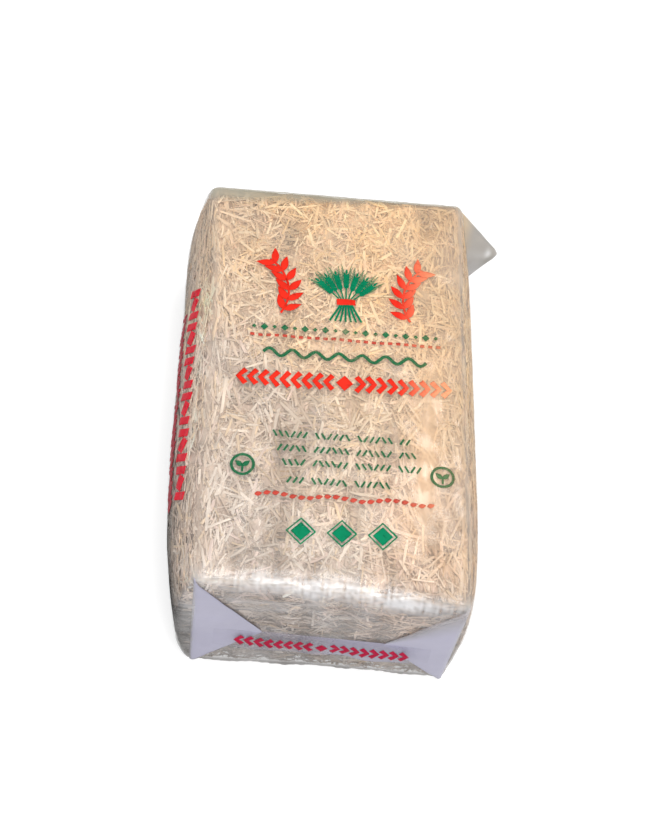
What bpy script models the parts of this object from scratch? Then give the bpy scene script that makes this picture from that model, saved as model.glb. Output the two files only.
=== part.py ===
"""A bagged straw bale: seven wads of chopped barley straw pressed side by side in one clear film bag.

Frame: metres, +Z up, +Y along the bale, +X across it. The origin is the middle of the face that the
bale rests on. The bag is a flat tube of film, sealed across both ends. Each seal leaves a fin along
the end face and a flat ear of doubled film at each side of it. Three ears are folded in against the
end faces, and the one at the far right stands out sideways.
"""

import math

import bmesh
import bpy
from mathutils import Matrix, Vector

# The bag, outside.
BAG_WIDTH = 0.400
BAG_LENGTH = 0.732
BAG_HEIGHT = 0.276
FILM_EDGE = 0.014  # how far the rounding of a film edge reaches across each face
BULGE_LEFT = 0.054  # how far each long side swells out at its fullest
BULGE_RIGHT = 0.038
BULGE_AT_ENDS = 0.50  # share of the swell that is left at the end faces,
BULGE_AT_NEAR_RIGHT = 0.15  # except at the near end of the right side
SWELL_POWER_UP = 0.8  # under 1, a fuller swell from the floor to the top,
SWELL_POWER_LOW_LEFT = 0.35  # and fuller still low on the left side
SWELL_POWER_ALONG_LEFT = 4  # the higher, the longer the stretch at full swell
SWELL_POWER_ALONG_RIGHT = 8
SWELL_POWER_ACROSS = 6  # the higher, the less of the swell reaches in from the side
FLARE_LEFT = 0.017  # how much further out the far end's corners lie, at each side
FLARE_RIGHT = 0.003
FLARE_STARTS = 0.180  # from here along the bale, to its far end
NEAR_SKEW = 0.046  # slope of the near end across the bale: its right corner reaches further out
SKEW_STARTS = 0.100  # from here along the bale, to its near end
LOOPS_UP = (0.3, 0.5, 0.7)  # the cage's loops, as shares of the height
LOOPS_ALONG = (-0.8, -0.55, -0.3, 0.0, 0.3, 0.55, 0.8)  # and of half the length
FILM = 0.0004  # one layer of film
SEALED = 2 * FILM  # two layers lying on each other

# The seals.
SEAL_HEIGHT = 0.122
FIN_DROP = 0.046  # how far a fin hangs down from its seal
FIN_HALF_WIDTH = 0.165
FIN_STAND_OFF = 0.0035
EAR_REACH = 0.100  # from an ear's root, beside the edge of the end face, to its tip
EAR_TIP = 0.006  # height of an ear's blunt tip
EAR_LEAN = math.radians(16)  # how far the standing ear turns back from the end face's plane

# The vent holes that let the air out as the bale is pushed in.
VENT_RADIUS = 0.003
VENT_SIDES = 12
VENT_FROM_END = 0.150
VENT_HEIGHT = 0.215
VENT_PIN = 0.200  # length of the pin that punches a vent

# The straw.
WADS = 7
STRAW_EDGE = 0.030  # how far the rounding of the straw block reaches across each face
SIDE_GAP = 0.0040  # between the straw and the film, along the sides and across the ends
FLAT_GAP = 0.0010  # the same, over and under the straw
WAD_GAP = 0.0006  # between one wad and the next
WAD_EDGE = 0.004  # rounding of a wad's own edges
CUT_ANGLE = math.radians(50)  # a wad's edges at least this sharp are rounded
SMOOTH_ANGLE = math.radians(40)

CLEAR_FILM = ("clear_film", (0.80, 0.80, 0.82, 0.35), 0.18)
STRAW_COLOURS = ((0.62, 0.50, 0.34, 1.0), (0.56, 0.45, 0.30, 1.0))
STRAW_ROUGHNESS = 0.85

WELD = 1e-6

X, Y, Z = Vector((1, 0, 0)), Vector((0, 1, 0)), Vector((0, 0, 1))
ALL_ROUND = X + Y + Z
ALONG_WALL = {1: X, -1: Vector((1, -NEAR_SKEW, 0)).normalized()}  # across the bale on each end wall


def clear_scene():
    for obj in list(bpy.data.objects):
        bpy.data.objects.remove(obj, do_unlink=True)


def make_collection(name):
    collection = bpy.data.collections.new(name)
    bpy.context.scene.collection.children.link(collection)
    return collection


def make_material(name, colour, roughness):
    material = bpy.data.materials.new(name)
    material.use_nodes = True
    shader = material.node_tree.nodes["Principled BSDF"]
    shader.inputs["Base Color"].default_value = (*colour[:3], 1.0)
    shader.inputs["Roughness"].default_value = roughness
    shader.inputs["Metallic"].default_value = 0.0
    shader.inputs["Alpha"].default_value = colour[3]
    return material


def add_mesh_object(name, bm, collection, material=None):
    mesh = bpy.data.meshes.new(name)
    bm.to_mesh(mesh)
    bm.free()
    obj = bpy.data.objects.new(name, mesh)
    collection.objects.link(obj)
    if material:
        mesh.materials.append(material)
    return obj


def evaluated_mesh(obj):
    graph = bpy.context.evaluated_depsgraph_get()
    return bpy.data.meshes.new_from_object(obj.evaluated_get(graph))


def side_shift(point):
    """How far this point moves out across the bale: the swell of its side, and the far end's flare."""
    if point.x < 0:
        bulge, at_end, flare = BULGE_LEFT, BULGE_AT_ENDS, FLARE_LEFT
        power_up = SWELL_POWER_LOW_LEFT if point.z < BAG_HEIGHT / 2 else SWELL_POWER_UP
        power_along = SWELL_POWER_ALONG_LEFT
    else:
        bulge, at_end, flare = BULGE_RIGHT, BULGE_AT_ENDS, FLARE_RIGHT
        power_up, power_along = SWELL_POWER_UP, SWELL_POWER_ALONG_RIGHT
        if point.y < 0:
            at_end = BULGE_AT_NEAR_RIGHT
    up = math.sin(math.pi * min(max(point.z / BAG_HEIGHT, 0.0), 1.0)) ** power_up
    along = 1.0 - min(2 * abs(point.y) / BAG_LENGTH, 1.0) ** power_along
    outward = min(2 * abs(point.x) / BAG_WIDTH, 1.0) ** SWELL_POWER_ACROSS
    far = min(max((point.y - FLARE_STARTS) / (BAG_LENGTH / 2 - FLARE_STARTS), 0.0), 1.0)
    swell = bulge * up * (at_end + (1 - at_end) * along)
    return outward * (swell + flare * far * far * (3 - 2 * far))


def block_cage(inset, edge):
    """The bale's outline as a coarse cage: inset from the bag's outer face, with its edges this rounded."""
    half_width = BAG_WIDTH / 2 - inset.x
    half_length = BAG_LENGTH / 2 - inset.y
    low, high = inset.z, BAG_HEIGHT - inset.z
    bm = bmesh.new()
    bmesh.ops.create_cube(bm, size=1.0)
    size = Vector((2 * half_width, 2 * half_length, high - low))
    for vert in bm.verts:
        vert.co = vert.co * size + Z * (low + high) / 2
    cuts = [(X, s * (half_width - edge)) for s in (-1, 1)]
    cuts += [(Y, s * (half_length - edge)) for s in (-1, 1)]
    cuts += [(Z, low + edge), (Z, high - edge), (X, 0.0)]
    cuts += [(Z, low + share * (high - low)) for share in LOOPS_UP]
    cuts += [(Y, share * half_length) for share in LOOPS_ALONG]
    for axis, place in cuts:
        everything = bm.verts[:] + bm.edges[:] + bm.faces[:]
        bmesh.ops.bisect_plane(bm, geom=everything, plane_co=axis * place, plane_no=axis)
    for vert in bm.verts:
        vert.co.x += math.copysign(side_shift(vert.co), vert.co.x)
        near = min(max((-vert.co.y - SKEW_STARTS) / (half_length - SKEW_STARTS), 0.0), 1.0)
        vert.co.y -= NEAR_SKEW * vert.co.x * near
    return bm


def soften(obj):
    smooth = obj.modifiers.new("soften", "SUBSURF")
    smooth.levels = smooth.render_levels = 1


def add_plate(name, outline, across, centre, thickness, cutters):
    """A flat plate in the plane of across and +Z, from its outline there: a filled 2D curve made a mesh."""
    curve = bpy.data.curves.new(name, "CURVE")
    curve.dimensions = "2D"
    curve.fill_mode = "BOTH"
    curve.extrude = thickness / 2
    spline = curve.splines.new("POLY")
    spline.points.add(len(outline) - 1)
    for point, (along, up) in zip(spline.points, outline):
        point.co = (along, up, 0.0, 1.0)
    spline.use_cyclic_u = True
    guide = bpy.data.objects.new(name + "_outline", curve)
    cutters.objects.link(guide)
    bpy.context.view_layer.update()
    mesh = evaluated_mesh(guide)
    bpy.data.objects.remove(guide, do_unlink=True)
    bm = bmesh.new()
    bm.from_mesh(mesh)
    bpy.data.meshes.remove(mesh)
    bmesh.ops.remove_doubles(bm, verts=bm.verts, dist=WELD)
    standing = Matrix((across, Z, across.cross(Z))).transposed().to_4x4()
    bmesh.ops.transform(bm, matrix=Matrix.Translation(centre) @ standing, verts=bm.verts)
    bmesh.ops.recalc_face_normals(bm, faces=bm.faces)
    return as_cutter(add_mesh_object(name, bm, cutters))


def as_cutter(obj):
    obj.hide_render = True
    obj.display_type = "WIRE"
    return obj


def add_boolean(obj, other, operation):
    modifier = obj.modifiers.new(other.name, "BOOLEAN")
    modifier.operation = operation
    modifier.object = other
    modifier.solver = "EXACT"


def add_ear(name, corner, across, reach, cutters):
    """A flat ear: a triangle with a blunt tip, its root at the corner and its tip reached along across."""
    lowest, highest = FILM_EDGE / 2, BAG_HEIGHT - FILM_EDGE / 2
    low_tip, high_tip = SEAL_HEIGHT - EAR_TIP / 2, SEAL_HEIGHT + EAR_TIP / 2
    outline = [(0, lowest), (reach, low_tip), (reach, high_tip), (0, highest)]
    return add_plate(name, outline, across, corner, SEALED, cutters)


def add_ears(cutters):
    """Three ears lie folded in on the end faces. The far right one stands out from its corner."""
    depth = BAG_LENGTH / 2 + FILM / 2
    root = BAG_WIDTH / 2 - FILM_EDGE / 2
    ears = []
    for name, side, end, flare in (
        ("near_left_ear", -1, -1, 0.0),
        ("near_right_ear", 1, -1, 0.0),
        ("far_left_ear", -1, 1, FLARE_LEFT),
    ):
        wall = ALONG_WALL[end]
        corner = Y * end * depth + wall * side * (root + flare)
        ears.append(add_ear(name, corner, -side * wall, EAR_REACH, cutters))
    root = BAG_WIDTH / 2 - FILM_EDGE + FLARE_RIGHT
    corner = Vector((root, BAG_LENGTH / 2 - FILM_EDGE / 2, 0.0))
    across = X * math.cos(EAR_LEAN) + Y * math.sin(EAR_LEAN)
    standing = add_ear("far_right_ear", corner, across, EAR_REACH + FILM_EDGE / 2, cutters)
    inside = as_cutter(add_mesh_object("inside", block_cage(ALL_ROUND * FILM / 2, FILM_EDGE), cutters))
    soften(inside)
    add_boolean(standing, inside, "DIFFERENCE")
    return ears + [standing]


def add_fin(name, end, cutters):
    """The sealed strip: out from the end face by its stand-off, then hanging down in front of it."""
    wall, front = -FILM / 2, FIN_STAND_OFF
    outline = [
        (wall, 0.0),
        (front, 0.0),
        (front, -FIN_DROP),
        (front + SEALED, -FIN_DROP),
        (front + SEALED, SEALED),
        (wall, SEALED),
    ]
    outline = [(end * out, up) for out, up in outline]
    centre = Vector((0.0, end * BAG_LENGTH / 2, SEAL_HEIGHT))
    outward = Z.cross(ALONG_WALL[end])
    return add_plate(name, outline, outward, centre, 2 * FIN_HALF_WIDTH, cutters)


def add_vents(cutters):
    """Pins that punch a vent hole near each end of both long sides."""
    vents = []
    for side in (-1, 1):
        for end in (-1, 1):
            bm = bmesh.new()
            bmesh.ops.create_cone(
                bm,
                cap_ends=True,
                segments=VENT_SIDES,
                radius1=VENT_RADIUS,
                radius2=VENT_RADIUS,
                depth=VENT_PIN,
            )
            vent = as_cutter(add_mesh_object(f"vent_{len(vents) + 1}", bm, cutters))
            vent.rotation_euler = (0, math.pi / 2, 0)
            along = end * (BAG_LENGTH / 2 - VENT_FROM_END)
            vent.location = (side * (BAG_WIDTH / 2), along, VENT_HEIGHT)
            vents.append(vent)
    return vents


def add_bag(parts, cutters):
    """One film bag: a thin shell with its seals, ears and vent holes, all in one piece."""
    material = make_material(*CLEAR_FILM)
    bag = add_mesh_object("bag", block_cage(ALL_ROUND * 0, FILM_EDGE), parts, material)
    soften(bag)
    wall = bag.modifiers.new("film", "SOLIDIFY")
    wall.thickness = FILM
    wall.offset = -1.0
    for vent in add_vents(cutters):
        add_boolean(bag, vent, "DIFFERENCE")
    seals = [add_fin("near_fin", -1, cutters), add_fin("far_fin", 1, cutters)]
    for seal in add_ears(cutters) + seals:
        add_boolean(bag, seal, "UNION")
    return bag


def add_wads(parts, cutters):
    """The straw block, sliced across its width into wads with rounded edges."""
    inset = Vector((SIDE_GAP, SIDE_GAP, FLAT_GAP)) + ALL_ROUND * FILM
    block = as_cutter(add_mesh_object("block", block_cage(inset, STRAW_EDGE), cutters))
    soften(block)
    bpy.context.view_layer.update()
    whole = evaluated_mesh(block)
    bpy.data.objects.remove(block, do_unlink=True)
    materials = [
        make_material(f"straw_{n + 1}", colour, STRAW_ROUGHNESS)
        for n, colour in enumerate(STRAW_COLOURS)
    ]
    pitch = (BAG_WIDTH - 2 * inset.x) / WADS
    for n in range(WADS):
        left = -BAG_WIDTH / 2 + inset.x + n * pitch
        bm = bmesh.new()
        bm.from_mesh(whole)
        if n > 0:
            slice_off(bm, left + WAD_GAP / 2, -X)
        if n < WADS - 1:
            slice_off(bm, left + pitch - WAD_GAP / 2, X)
        wad = add_mesh_object(f"wad_{n + 1}", bm, parts, materials[n % 2])
        edge = wad.modifiers.new("edge", "BEVEL")
        edge.width = WAD_EDGE
        edge.segments = 2
        edge.limit_method = "ANGLE"
        edge.angle_limit = CUT_ANGLE
        for face in wad.data.polygons:
            face.use_smooth = True
        wad.data.set_sharp_from_angle(angle=SMOOTH_ANGLE)


def slice_off(bm, place, outward):
    """Cuts away what lies beyond this plane across the bale, and closes the cut."""
    everything = bm.verts[:] + bm.edges[:] + bm.faces[:]
    cut = bmesh.ops.bisect_plane(
        bm, geom=everything, plane_co=X * place, plane_no=outward, clear_outer=True
    )
    rim = [item for item in cut["geom_cut"] if isinstance(item, bmesh.types.BMEdge)]
    bmesh.ops.contextual_create(bm, geom=rim)
    bmesh.ops.recalc_face_normals(bm, faces=bm.faces)


def main():
    clear_scene()
    parts = make_collection("straw_bale")
    cutters = make_collection("cutters")
    add_bag(parts, cutters)
    add_wads(parts, cutters)


main()
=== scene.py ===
"""The looks of the bagged straw bale: seven wads of pressed straw in a clear film bag, with its print.

Frame: metres, +Z up, +Y along the bale, +X across it. The bale stands on z = 0, and the origin is the
middle of the face that it rests on. Most shapes are first laid out on a plain block, with its middle at
the origin and flat faces, and to_bale() then rounds the block's edges and swells its sides.
"""

import itertools
import math
from collections import namedtuple

import bmesh
import bpy
import numpy as np
from mathutils import Matrix, Vector
from mathutils.bvhtree import BVHTree


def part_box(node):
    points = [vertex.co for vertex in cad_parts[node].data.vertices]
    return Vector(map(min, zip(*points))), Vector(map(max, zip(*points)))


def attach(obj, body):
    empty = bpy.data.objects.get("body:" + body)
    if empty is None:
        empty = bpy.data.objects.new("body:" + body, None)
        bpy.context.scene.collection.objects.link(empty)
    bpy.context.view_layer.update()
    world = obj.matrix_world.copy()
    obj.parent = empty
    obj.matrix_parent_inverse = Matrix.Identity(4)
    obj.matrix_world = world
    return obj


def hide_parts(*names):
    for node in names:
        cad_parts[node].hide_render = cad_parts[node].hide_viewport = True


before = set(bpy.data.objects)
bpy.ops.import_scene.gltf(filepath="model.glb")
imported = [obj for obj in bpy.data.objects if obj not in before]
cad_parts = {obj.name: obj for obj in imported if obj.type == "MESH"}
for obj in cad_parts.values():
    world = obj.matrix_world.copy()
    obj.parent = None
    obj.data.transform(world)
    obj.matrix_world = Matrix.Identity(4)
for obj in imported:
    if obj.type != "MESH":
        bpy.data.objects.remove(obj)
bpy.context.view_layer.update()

# The bag, as in the CAD.
BAG_WIDTH = 0.400
BAG_LENGTH = 0.732
BAG_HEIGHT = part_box("bag")[1].z
HALF = np.array((BAG_WIDTH, BAG_LENGTH, BAG_HEIGHT)) / 2
BULGE_LEFT = 0.0518  # how far each long side swells out at its fullest
BULGE_RIGHT = 0.0359
BULGE_AT_ENDS = 0.505  # share of the swell that is left at the ends,
BULGE_AT_NEAR_RIGHT = 0.187  # except at the near end of the right side
SWELL_POWER_UP = 0.917  # the lower, the fuller the swell from the floor to the top,
SWELL_POWER_LOW_LEFT = 0.49  # and it is fuller still low on the left side
SWELL_POWER_ALONG_LEFT = 3.4
SWELL_POWER_ALONG_RIGHT = 5.6
SWELL_POWER_ACROSS = 6
FLARE_LEFT = 0.0159  # how much further out the far end's corners lie, at each side
FLARE_RIGHT = 0.0031
FLARE_STARTS = 0.165  # from here along the bale, to its far end
NEAR_SKEW = 0.046  # slope of the near end across the bale: its right corner reaches further out
SKEW_STARTS = 0.100  # from here along the bale, to its near end
SKEW_SETTLES = 0.120  # below this height the slope fades out, on the left
SEAL_HEIGHT = 0.122
FIN_DROP = 0.046
FIN_HALF_WIDTH = 0.165
FIN_STAND_OFF = 0.0035
WELD_RIBS = 9  # to the height of the fin, of which the weld takes a share
WELD_SHARE = 0.28
WELD_HEIGHT = 0.0006
EAR_REACH = 0.100
EAR_TIP = 0.006
EAR_ROUNDING = 0.016  # of the film's edge that the folded ears follow
EAR_LOWEST = 0.0015
EAR_INSET = 0.001  # of a folded ear's root from the bag's corner,
EAR_STAND_OFF = 0.0024  # and how far it lies out from the end
STANDING_EAR_INSET = (0.008, 0.007)  # of its root from the corner, across and along the bale
STANDING_EAR_TIP = 0.014
EAR_LEAN = math.radians(16)
VENT_RADIUS = 0.003
VENT_FROM_END = 0.150
VENT_HEIGHT = 0.215

# The film.
FILM_ROUNDING = 0.010
FILM_ROUNDING_NEAR = 0.030  # over the near end the film turns down more softly
FILM_CELL = 0.0040
FLOOR_GAP = 0.0004
FILM_BASE_HAZE = 0.11
HAZE_MOST = 0.93
FIN_HALF_THICK = 0.0004
EAR_HALF_GAP = 0.0003

# Colours of the film's haze.
CLEAR = (0.77, 0.72, 0.66)  # over most of the bag
HIGHLIGHT_WHITE = (0.86, 0.87, 0.89)  # a painted highlight along the near top edge
PEACH = (0.61, 0.455, 0.32)  # on the right
WARM_GLARE = (1.0, 0.64, 0.34)  # a painted warm reflection, in a pale stripe there
STONE = (0.62, 0.55, 0.46)  # on the left
SLATE = (0.74, 0.75, 0.78)  # on the near end
DUN = (0.36, 0.335, 0.235)  # where the film stands off the far edge
GROUND_SHADE = (0.20, 0.175, 0.145)  # painted shade near the ground
MILKY = (0.475, 0.465, 0.595)  # where the film is doubled
HEM = (0.72, 0.70, 0.74)  # along a doubled film's blurred hem, painted lighter over the shade seen through it
TAWNY = (0.88, 0.68, 0.44)  # on the standing ear, beside the bag
GREY = (0.52, 0.49, 0.45)  # in that ear's middle
PALE_GREY = (0.62, 0.60, 0.59)  # low down on it
GLINT = (1.0, 1.0, 0.99)  # a painted glint near its tip
OLIVE = (0.30, 0.285, 0.235)  # and painted shade under that

# The straw.
WADS = 7
STRAW_INSIDE = 0.002  # how much more the straw is rounded than the film,
STRAW_INSIDE_NEAR = 0.0025  # near the near end,
STRAW_INSIDE_FAR = 0.0008  # and near the far end
STRAW_SKIN = 0.014
LAID_WITHIN = HALF - (0.005, 0.003, 0.005)  # half sizes of the block that the stems keep inside
CORE_DEPTH = 0.0070
CORE_SIDE_DEPTH = 0.0050
CORE_CELL = (0.010, 0.013, 0.013)
CORE_KNOTS = 0.0022  # height of the core's lumps,
CORE_SETTLED = 0.0006  # and how far it lies in under them
CORE_RIM_RISE = 0.0058  # of the core towards the far edge's rim
WAD_GAP = 0.0001  # from each wad's core to the wall between it and the next
WAD_OVERLAP = 0.009  # how far a wad's stems may reach beyond that wall
CREASE_DEPTH = 0.007
CREASE_HALF_WIDTH = 0.008
CREASES_FAR = (0.15, 0.60, 0.35, 0.08, 0.35, 0.30)  # share of each crease that goes on over the far half
CREASE_SHADE = (0.50, 0.55, 0.60)  # how much darker its bottom is, in red, green and blue
HOLLOW_AT = -0.032  # across the bale, of a broad hollow on top, from its middle towards the near left
HOLLOW_SLANT = 0.21
HOLLOW_HALF_WIDTH = 0.019
HOLLOW_DEPTH = 0.55  # as a share of the creases'
HEADING_SPREAD = 0.30  # of the stems that lie along the grain, in radians
TAPER_MOST = 0.45  # share of its width that a stem may lose towards its ends,
SLANT_MOST = 0.9  # and how far its ends may be cut aslant, over its half width
STRAW_BRIGHTEST = 0.95
SIDE_GAP = 0.0004  # least room between a stem and the block's long sides,
END_GAP = 0.0008  # and its other faces
LUMPS = (0.0003, 0.0006, 0.0011)  # height of the lumps in the faces across x, y and z
DEPTH_SHARES = (0.5, 0.75, 1.0)  # share of a stem's depth that is taken in those faces
BEND_KEPT = 0.35  # share of the bale's own rounding that a stem bends with
HOLLOW_END = 0.0022  # how far a culm's end is sunk,
HOLLOW_END_SHADE = 0.25  # and how dark it is
STEM_CELLS = 88  # stems to a row of the texture layout
CORE_BAND = 0.10  # share of the texture layout kept for a wad's core
CELL_MARGIN = 0.06
CORE_MARGIN = 0.04
FILM_MARGIN = 0.01

Stem = namedtuple("Stem", "count length width flat sides stations bow roll depth hollow palette")

CREAM = (0.86, 0.71, 0.51)
BEIGE = (0.77, 0.59, 0.40)
TAN = (0.66, 0.48, 0.31)
GOLD = (0.80, 0.58, 0.33)
PINK = (0.82, 0.60, 0.44)
BROWN = (0.48, 0.34, 0.23)
CORE_BROWN = np.array((0.56, 0.41, 0.28))
GREYER = np.array((0.79, 0.83, 0.99))  # tints over those: near left, greyer and darker as painted cool shade,
WARMER = np.array((1.17, 1.02, 0.77))  # far right, warmer and brighter as painted warm light,
ROSIER = np.array((0.09, 0.02, -0.03))  # what the near right adds to them,
COOLER = np.array((-0.03, 0.0, 0.07))  # what the near end adds,
SHADED = np.array((0.12, 0.135, 0.15))  # and painted shade low along the near left

STEMS = (
    # culms: whole stems, pressed flat and hollow at their ends
    Stem(3300, (0.020, 0.062), (0.0030, 0.0060), (0.28, 0.50), 6, 4, 0.03, 12, (0.0010, 0.0050), True,
         ((CREAM, 5), (BEIGE, 3), (GOLD, 1.5), (PINK, 1))),
    # splits: stems split lengthways, and strips of leaf
    Stem(9200, (0.014, 0.045), (0.0018, 0.0042), (0.15, 0.32), 4, 4, 0.08, 20, (0.0010, 0.0060), False,
         ((CREAM, 3), (BEIGE, 4), (TAN, 3), (GOLD, 1.5), (PINK, 1.5), (BROWN, 0.7))),
    # fibres: awns and fine shreds
    Stem(16000, (0.010, 0.040), (0.0007, 0.0016), (0.5, 0.9), 3, 3, 0.14, 30, (0.0008, 0.0050), False,
         ((CREAM, 4), (BEIGE, 4), (TAN, 2), (GOLD, 1), (BROWN, 1))),
)

# Faces of the block: outward axis and sign, the axis along the grain, the axis across it, stems laid,
# and the mean and spread of their brightness.
Face = namedtuple("Face", "axis sign along across density bright spread")
FACES = (
    Face(2, 1, 1, 0, 1.5, 0.98, 0.14),
    Face(2, -1, 1, 0, 0.45, 0.98, 0.14),
    Face(0, -1, 1, 2, 1.0, 0.98, 0.14),
    Face(0, 1, 1, 2, 1.0, 0.98, 0.14),
    Face(1, -1, 0, 2, 1.0, 1.22, 0.34),
    Face(1, 1, 0, 2, 0.9, 1.22, 0.34),
)

# The print's inks, and the stage.
PALE_INK = (0.98, 0.50, 0.26)  # what an ink pales to at the right, as painted warm glare
INK_LIFT = 0.0004  # of the print over the film
INK_THICK = 0.00025
INK_CELL = 0.0035
FLOOR_HALF = 6.0
FLOOR_GREY = (0.50, 0.50, 0.50, 1)
FLOOR_LIFT = 0.66
WHITE = (1, 1, 1, 1)
FILL_COLOUR = (0.93, 0.95, 1.0, 1)
FILL_STRENGTH = 0.35
CAMERA_ANGLES = (58.0, -8.3, 11.1)  # elevation, azimuth and roll, in degrees
CAMERA_TARGET = (0.001, 0.021, 0.138)
CAMERA_DISTANCE = 2.428
CAMERA_LENS = 64.84


def unit(vectors):
    return vectors / np.maximum(np.linalg.norm(vectors, axis=-1, keepdims=True), 1e-12)


def ramp(low, high, values):
    """From 0 at the first value to 1 at the second, which may be the lower one."""
    share = np.clip((values - low) / (high - low), 0.0, 1.0)
    return share * share * (3 - 2 * share)


def bell(values, middle, half_width):
    return np.exp(-(((values - middle) / half_width) ** 2))


def blend(colours, tone, share):
    """The colours, each moved by its share towards the tone."""
    return colours + (np.array(tone) - colours) * share[:, None]


def zone(**ramps):
    """A part of the bale with soft bounds, as a function that gives the share of points in it. A ramp
    along an axis rises from its first place to its second; with four places it also falls from the third
    to the fourth."""
    def share(points):
        total = 1.0
        for axis, places in ramps.items():
            along = points[..., "xyz".index(axis)]
            total = total * ramp(*places[:2], along)
            if places[2:]:
                total = total * ramp(*places[:1:-1], along)
        return total
    return share


def wave_field(seed, wavelength, count=10):
    """A smooth random field over space, mostly from -1 to 1, with about this wavelength."""
    rng = np.random.default_rng(seed)
    turns = unit(rng.normal(size=(count, 3))) * 2 * np.pi / wavelength
    turns = turns * rng.uniform(0.7, 1.5, (count, 1))
    phases = rng.uniform(0, 2 * np.pi, count)
    return lambda points: np.sin(points @ turns.T + phases).sum(axis=-1) / math.sqrt(count)


def to_bale(points, rounding, skin=0.0):
    """Moves points of the plain block into the bale: its edges rounded, its long sides swelled out.
    Whatever lies within the skin, counted in from the long sides, takes their full swell."""
    core_half = HALF - np.expand_dims(rounding, -1)
    core = np.clip(points, -core_half, core_half)
    out = points - core
    longest = np.abs(out).max(axis=-1, keepdims=True)
    length = np.maximum(np.linalg.norm(out, axis=-1, keepdims=True), 1e-12)
    placed = core + out * longest / length
    x, y, z = np.moveaxis(placed, -1, 0)
    left = x < 0
    up = np.sin(np.pi * np.clip(z / BAG_HEIGHT + 0.5, 0, 1))
    up = up ** np.where(left & (z < 0), SWELL_POWER_LOW_LEFT, SWELL_POWER_UP)
    along = np.clip(np.abs(y) / HALF[1], 0, 1)
    along = 1 - along ** np.where(left, SWELL_POWER_ALONG_LEFT, SWELL_POWER_ALONG_RIGHT)
    at_end = np.where(~left & (y < 0), BULGE_AT_NEAR_RIGHT, BULGE_AT_ENDS)
    swell = np.where(left, BULGE_LEFT, BULGE_RIGHT) * up * (at_end + (1 - at_end) * along)
    flare = np.where(left, FLARE_LEFT, FLARE_RIGHT) * ramp(FLARE_STARTS, HALF[1], y)
    outward = np.clip((np.abs(x) + skin) / HALF[0], 0, 1) ** SWELL_POWER_ACROSS
    placed[..., 0] = x + np.where(left, -1, 1) * outward * (swell + flare)
    placed[..., 2] = z + HALF[2]
    return skewed(placed)


def skewed(points):
    """Points moved along the bale with the slope of its near end."""
    x, y, z = np.moveaxis(points, -1, 0)
    near = np.clip((-y - SKEW_STARTS) / (HALF[1] - SKEW_STARTS), 0, 1)
    near = near * np.where(x < 0, ramp(0.0, SKEW_SETTLES, z), 1.0)
    return points - (NEAR_SKEW * x * near)[..., None] * (0, 1, 0)


TOWARDS_NEAR_END = zone(y=(-0.22, -0.36))
TOWARDS_FAR_END = zone(y=(0.22, 0.36))
NEAR_TOP_EDGE = zone(y=(-0.26, -0.34), z=(0.06, 0.12))


def film_rounding(points):
    beside = ramp(0.12, 0.19, np.abs(points[..., 0]))
    return FILM_ROUNDING + (FILM_ROUNDING_NEAR - FILM_ROUNDING) * NEAR_TOP_EDGE(points) * (1 - 0.7 * beside)


def straw_rounding(points):
    near = (STRAW_INSIDE_NEAR - STRAW_INSIDE) * TOWARDS_NEAR_END(points)
    far = (STRAW_INSIDE_FAR - STRAW_INSIDE) * TOWARDS_FAR_END(points)
    return film_rounding(points) + STRAW_INSIDE + near + far


def to_straw(points):
    return to_bale(points, straw_rounding(points), STRAW_SKIN)


# ---- Meshes ----


def make_mesh(name, points, loops, starts):
    """A mesh from flat arrays: the corners of all faces in turn, and where each face starts."""
    mesh = bpy.data.meshes.new(name)
    mesh.vertices.add(len(points))
    mesh.vertices.foreach_set("co", np.asarray(points, np.float32).ravel())
    mesh.loops.add(len(loops))
    mesh.loops.foreach_set("vertex_index", np.asarray(loops, np.int32))
    mesh.polygons.add(len(starts))
    mesh.polygons.foreach_set("loop_start", np.asarray(starts, np.int32))
    mesh.update(calc_edges=True)
    return mesh


def quad_mesh(name, points, quads):
    return make_mesh(name, points, quads.ravel(), np.arange(len(quads)) * 4)


def set_uv(mesh, corners):
    layer = mesh.uv_layers.new(name="OFBake")
    layer.uv.foreach_set("vector", np.asarray(corners, np.float32).ravel())


def set_colour(mesh, name, colours):
    layer = mesh.color_attributes.new(name, "FLOAT_COLOR", "POINT")
    rgba = np.ones((len(mesh.vertices), 4), np.float32)
    rgba[:, :3] = colours
    layer.data.foreach_set("color", rgba.ravel())


def set_value(mesh, name, values):
    layer = mesh.attributes.new(name, "FLOAT", "POINT")
    layer.data.foreach_set("value", np.asarray(values, np.float32))


def add_object(name, data):
    obj = bpy.data.objects.new(name, data)
    bpy.context.scene.collection.objects.link(obj)
    return obj


def add_piece(name, mesh, material, slot, *stands_for):
    piece = add_object(name, mesh)
    mesh.materials.append(material)
    mesh.shade_smooth()
    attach(piece, "root")
    if stands_for:
        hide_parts(*stands_for)
    return piece


def block_grid(low, high, cells):
    """The six faces of a block as one closed grid. Returns points, quads, and each quad's face number:
    twice the outward axis, plus one on its high side."""
    all_quads, faces = [], []
    for axis, high_side in itertools.product(range(3), (0, 1)):
        first, second = (axis + 1) % 3, (axis + 2) % 3
        i, j = (steps.ravel() for steps in np.mgrid[: cells[first], : cells[second]])
        corners = np.zeros((len(i), 4, 3), int)
        corners[:, :, axis] = high_side * cells[axis]
        corners[:, :, first] = np.stack((i, i + 1, i + 1, i), axis=1)
        corners[:, :, second] = np.stack((j, j, j + 1, j + 1), axis=1)
        all_quads.append(corners if high_side else corners[:, ::-1])
        faces.append(np.full(len(i), 2 * axis + high_side))
    steps, quads = np.unique(np.concatenate(all_quads).reshape(-1, 3), axis=0, return_inverse=True)
    return low + (high - low) * steps / cells, quads.reshape(-1, 4), np.concatenate(faces)


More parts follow.
